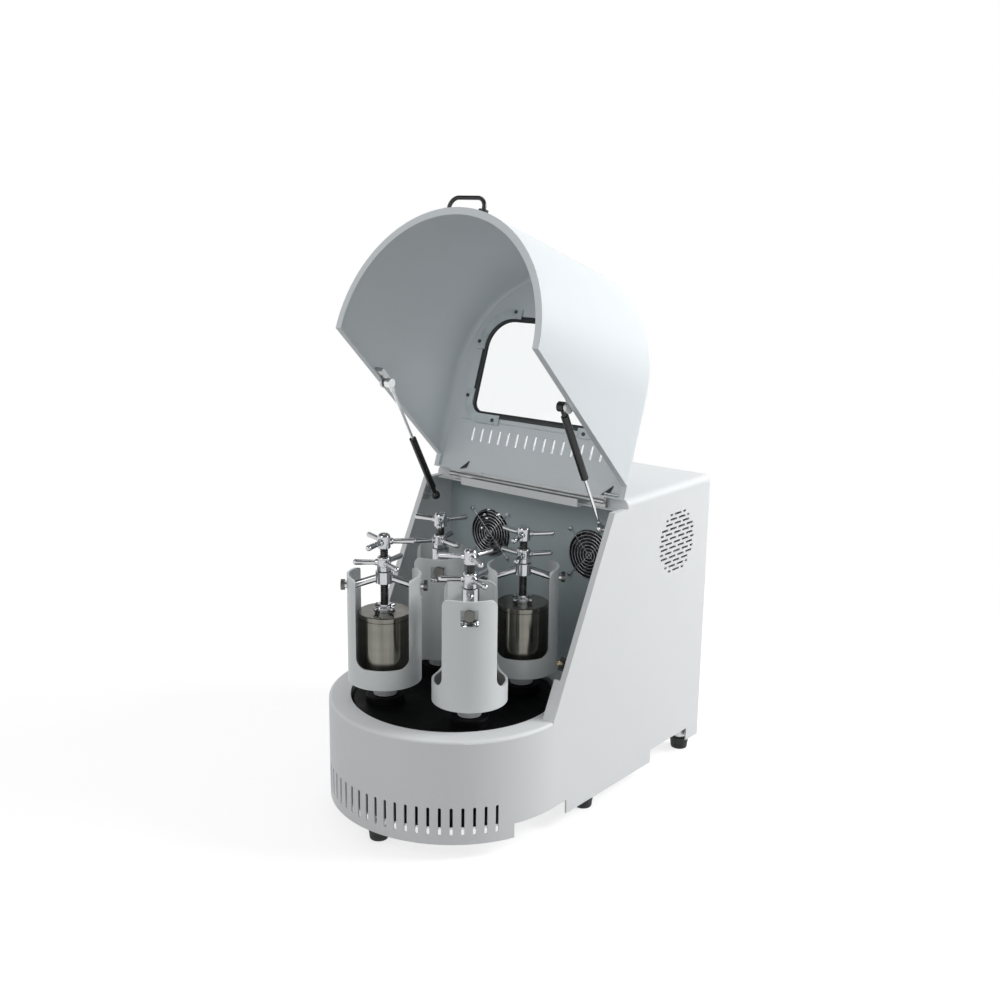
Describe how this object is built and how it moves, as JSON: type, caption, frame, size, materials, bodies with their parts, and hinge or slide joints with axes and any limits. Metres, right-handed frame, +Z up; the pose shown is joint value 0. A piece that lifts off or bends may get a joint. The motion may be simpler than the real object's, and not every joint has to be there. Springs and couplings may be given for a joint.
{
  "type": "planetary ball mill",
  "caption": "Bench planetary ball mill with a round drum front, clamped milling jars on a geared turntable and a tilting hood on gas struts.",
  "frame": {"origin": "centre of the bounding box at the height of the bench, under the middle of the machine", "axes": "+Z up, -Y towards the round drum front, +X to the right of someone standing in front of the drum"},
  "size_m": [0.479, 0.75, 1.1314],
  "materials": {
    "white_paint": "fine textured powder coat, satin",
    "bulkhead_paint": "smooth powder coat, satin",
    "zinc_steel": "zinc plated",
    "foot_rubber": "matt moulded rubber",
    "screw_steel": "bright screw steel",
    "black_plastic": "matt moulded plastic",
    "frame_paint": "primer grey",
    "gear_steel": "machined and oiled",
    "motor_paint": "grey machine paint",
    "belt_rubber": "matt",
    "control_plastic": "fine moulded texture",
    "black_casting": "black lacquered casting, semi gloss",
    "hood_shell": "moulded shell, satin white lacquer",
    "clear_pane": "clear polycarbonate, gloss",
    "gasket_rubber": "extruded profile, satin",
    "retainer_plastic": "light grey clips with dark screws",
    "handle_black": "black lacquer, gloss",
    "strut_black": "black lacquered tube, gloss",
    "chrome": "hard chromed rod",
    "plunger_brass": "worn nickelled brass",
    "red_plastic": "gloss moulded",
    "holder_paint": "light grey powder coat, satin",
    "jar_steel": "turned stainless steel with fine rings",
    "clamp_chrome": "polished and chromed"
  },
  "bodies": {
    "chassis": {"housing": "white_paint", "bulkhead": "bulkhead_paint", "base_plate": "zinc_steel", "feet": "foot_rubber", "rear_cover": "white_paint", "body_screws": "screw_steel", "body_brackets": "zinc_steel", "fan_frames": "black_plastic", "drive_frame": "frame_paint", "sun_gear": "gear_steel", "motor": "motor_paint", "drive_belt": "belt_rubber", "inverter": "control_plastic", "safety_switch": "black_plastic"},
    "hood": {"hood": "hood_shell", "window_pane": "clear_pane", "window_gasket": "gasket_rubber", "window_retainers": "retainer_plastic", "hood_handle": "handle_black", "hood_brackets": "zinc_steel"},
    "strut_left_lower": {"strut_left_cylinder": "strut_black"},
    "strut_left_upper": {"strut_left_rod": "chrome"},
    "strut_right_lower": {"strut_right_rod": "chrome"},
    "strut_right_upper": {"strut_right_cylinder": "strut_black"},
    "turntable": {"turntable": "black_casting", "main_shaft": "gear_steel"},
    "motor_rotor": {"motor_pulley": "gear_steel"},
    "fan_left": {"fan_rotor_left": "black_plastic"},
    "fan_right": {"fan_rotor_right": "black_plastic"},
    "safety_plunger": {"safety_plunger": "plunger_brass"},
    "power_rocker": {"power_rocker": "black_plastic"},
    "stop_button": {"stop_button": "red_plastic"},
    "station_front": {"jar_holder_front": "holder_paint", "jar_front": "jar_steel", "jar_lid_front": "jar_steel", "clamp_bridge_front": "clamp_chrome"},
    "foot_front": {"pressure_foot_front": "clamp_chrome"},
    "screw_front": {"clamp_screw_front": "clamp_chrome"},
    "nut_front": {"lock_nut_front": "clamp_chrome"},
    "station_right": {"jar_holder_right": "holder_paint", "jar_right": "jar_steel", "jar_lid_right": "jar_steel", "clamp_bridge_right": "clamp_chrome"},
    "foot_right": {"pressure_foot_right": "clamp_chrome"},
    "screw_right": {"clamp_screw_right": "clamp_chrome"},
    "nut_right": {"lock_nut_right": "clamp_chrome"},
    "station_back": {"jar_holder_back": "holder_paint", "jar_back": "jar_steel", "jar_lid_back": "jar_steel", "clamp_bridge_back": "clamp_chrome"},
    "foot_back": {"pressure_foot_back": "clamp_chrome"},
    "screw_back": {"clamp_screw_back": "clamp_chrome"},
    "nut_back": {"lock_nut_back": "clamp_chrome"},
    "station_left": {"jar_holder_left": "holder_paint", "jar_left": "jar_steel", "jar_lid_left": "jar_steel", "clamp_bridge_left": "clamp_chrome"},
    "foot_left": {"pressure_foot_left": "clamp_chrome"},
    "screw_left": {"clamp_screw_left": "clamp_chrome"},
    "nut_left": {"lock_nut_left": "clamp_chrome"}
  },
  "joints": [
    {"name": "hood_hinge", "type": "hinge", "parent": "chassis", "child": "hood", "pos_m": [0, 0.0645, 0.5818], "axis": [1, 0, 0], "range_deg": [0, 108.6], "stiffness_Nm_per_rad": 2, "springref_deg": -91.67},
    {"name": "strut_left_pivot", "type": "hinge", "parent": "chassis", "child": "strut_left_lower", "pos_m": [-0.204, 0.035, 0.538], "axis": [1, 0, 0], "range_deg": [0, 119.6]},
    {"name": "strut_left_slide", "type": "slide", "parent": "strut_left_lower", "child": "strut_left_upper", "axis": [0, -0.4762, 0.8794], "range_m": [-0.073, 0]},
    {"name": "strut_right_pivot", "type": "hinge", "parent": "chassis", "child": "strut_right_lower", "pos_m": [0.204, 0.035, 0.538], "axis": [1, 0, 0], "range_deg": [0, 119.6]},
    {"name": "strut_right_slide", "type": "slide", "parent": "strut_right_lower", "child": "strut_right_upper", "axis": [0, -0.4762, 0.8794], "range_m": [-0.073, 0]},
    {"name": "turntable_spin", "type": "hinge", "parent": "chassis", "child": "turntable", "pos_m": [0, -0.14, 0.205], "axis": [0, 0, 1], "continuous": true},
    {"name": "motor_spin", "type": "hinge", "parent": "chassis", "child": "motor_rotor", "pos_m": [0, 0.23, 0.09], "axis": [0, 0, 1], "continuous": true},
    {"name": "fan_left_spin", "type": "hinge", "parent": "chassis", "child": "fan_left", "pos_m": [-0.125, 0.128, 0.456], "axis": [0, 1, 0], "continuous": true},
    {"name": "fan_right_spin", "type": "hinge", "parent": "chassis", "child": "fan_right", "pos_m": [0.125, 0.128, 0.456], "axis": [0, 1, 0], "continuous": true},
    {"name": "station_front_spin", "type": "hinge", "parent": "turntable", "child": "station_front", "pos_m": [0.1051, -0.21862, 0.258], "axis": [0, 0, 1], "continuous": true},
    {"name": "clamp_front_lift", "type": "slide", "parent": "station_front", "child": "foot_front", "axis": [0, 0, 1], "range_m": [0, 0.012]},
    {"name": "clamp_front_turn", "type": "hinge", "parent": "foot_front", "child": "screw_front", "pos_m": [0.1051, -0.21862, 0.521], "axis": [0, 0, 1], "range_deg": [0, 1080]},
    {"name": "lock_nut_front_turn", "type": "hinge", "parent": "station_front", "child": "nut_front", "pos_m": [0.1051, -0.21862, 0.481], "axis": [0, 0, 1], "range_deg": [0, 120]},
    {"name": "station_right_spin", "type": "hinge", "parent": "turntable", "child": "station_right", "pos_m": [0.07862, -0.0349, 0.258], "axis": [0, 0, 1], "continuous": true},
    {"name": "clamp_right_lift", "type": "slide", "parent": "station_right", "child": "foot_right", "axis": [0, 0, 1], "range_m": [0, 0.012]},
    {"name": "clamp_right_turn", "type": "hinge", "parent": "foot_right", "child": "screw_right", "pos_m": [0.07862, -0.0349, 0.521], "axis": [0, 0, 1], "range_deg": [0, 1080]},
    {"name": "lock_nut_right_turn", "type": "hinge", "parent": "station_right", "child": "nut_right", "pos_m": [0.07862, -0.0349, 0.481], "axis": [0, 0, 1], "range_deg": [0, 120]},
    {"name": "station_back_spin", "type": "hinge", "parent": "turntable", "child": "station_back", "pos_m": [-0.1051, -0.06138, 0.258], "axis": [0, 0, 1], "continuous": true},
    {"name": "clamp_back_lift", "type": "slide", "parent": "station_back", "child": "foot_back", "axis": [0, 0, 1], "range_m": [0, 0.012]},
    {"name": "clamp_back_turn", "type": "hinge", "parent": "foot_back", "child": "screw_back", "pos_m": [-0.1051, -0.06138, 0.521], "axis": [0, 0, 1], "range_deg": [0, 1080]},
    {"name": "lock_nut_back_turn", "type": "hinge", "parent": "station_back", "child": "nut_back", "pos_m": [-0.1051, -0.06138, 0.481], "axis": [0, 0, 1], "range_deg": [0, 120]},
    {"name": "station_left_spin", "type": "hinge", "parent": "turntable", "child": "station_left", "pos_m": [-0.07862, -0.2451, 0.258], "axis": [0, 0, 1], "continuous": true},
    {"name": "clamp_left_lift", "type": "slide", "parent": "station_left", "child": "foot_left", "axis": [0, 0, 1], "range_m": [0, 0.012]},
    {"name": "clamp_left_turn", "type": "hinge", "parent": "foot_left", "child": "screw_left", "pos_m": [-0.07862, -0.2451, 0.521], "axis": [0, 0, 1], "range_deg": [0, 1080]},
    {"name": "lock_nut_left_turn", "type": "hinge", "parent": "station_left", "child": "nut_left", "pos_m": [-0.07862, -0.2451, 0.481], "axis": [0, 0, 1], "range_deg": [0, 120]},
    {"name": "safety_plunger_press", "type": "slide", "parent": "chassis", "child": "safety_plunger", "axis": [0, 0.8974, -0.4413], "range_m": [0, 0.003], "stiffness_N_per_m": 300, "springref_m": -0.003},
    {"name": "power_rocker_tilt", "type": "hinge", "parent": "chassis", "child": "power_rocker", "pos_m": [-0.235, 0.16, 0.235], "axis": [0, 1, 0], "range_deg": [0, 16]},
    {"name": "stop_button_press", "type": "slide", "parent": "chassis", "child": "stop_button", "axis": [1, 0, 0], "range_m": [0, 0.0025], "stiffness_N_per_m": 400, "springref_m": -0.002}
  ],
  "couplings": [
    {"joint": "motor_spin", "follows": "turntable_spin", "ratio": 2},
    {"joint": "strut_left_pivot", "follows": "hood_hinge", "ratio": 1.1005},
    {"joint": "strut_left_slide", "follows": "hood_hinge", "m_per_rad": -0.038484},
    {"joint": "strut_right_pivot", "follows": "hood_hinge", "ratio": 1.1005},
    {"joint": "strut_right_slide", "follows": "hood_hinge", "m_per_rad": -0.038484},
    {"joint": "station_front_spin", "follows": "turntable_spin", "ratio": 2},
    {"joint": "clamp_front_lift", "follows": "clamp_front_turn", "m_per_rad": 0.00063662},
    {"joint": "station_right_spin", "follows": "turntable_spin", "ratio": 2},
    {"joint": "clamp_right_lift", "follows": "clamp_right_turn", "m_per_rad": 0.00063662},
    {"joint": "station_back_spin", "follows": "turntable_spin", "ratio": 2},
    {"joint": "clamp_back_lift", "follows": "clamp_back_turn", "m_per_rad": 0.00063662},
    {"joint": "station_left_spin", "follows": "turntable_spin", "ratio": 2},
    {"joint": "clamp_left_lift", "follows": "clamp_left_turn", "m_per_rad": 0.00063662}
  ]
}
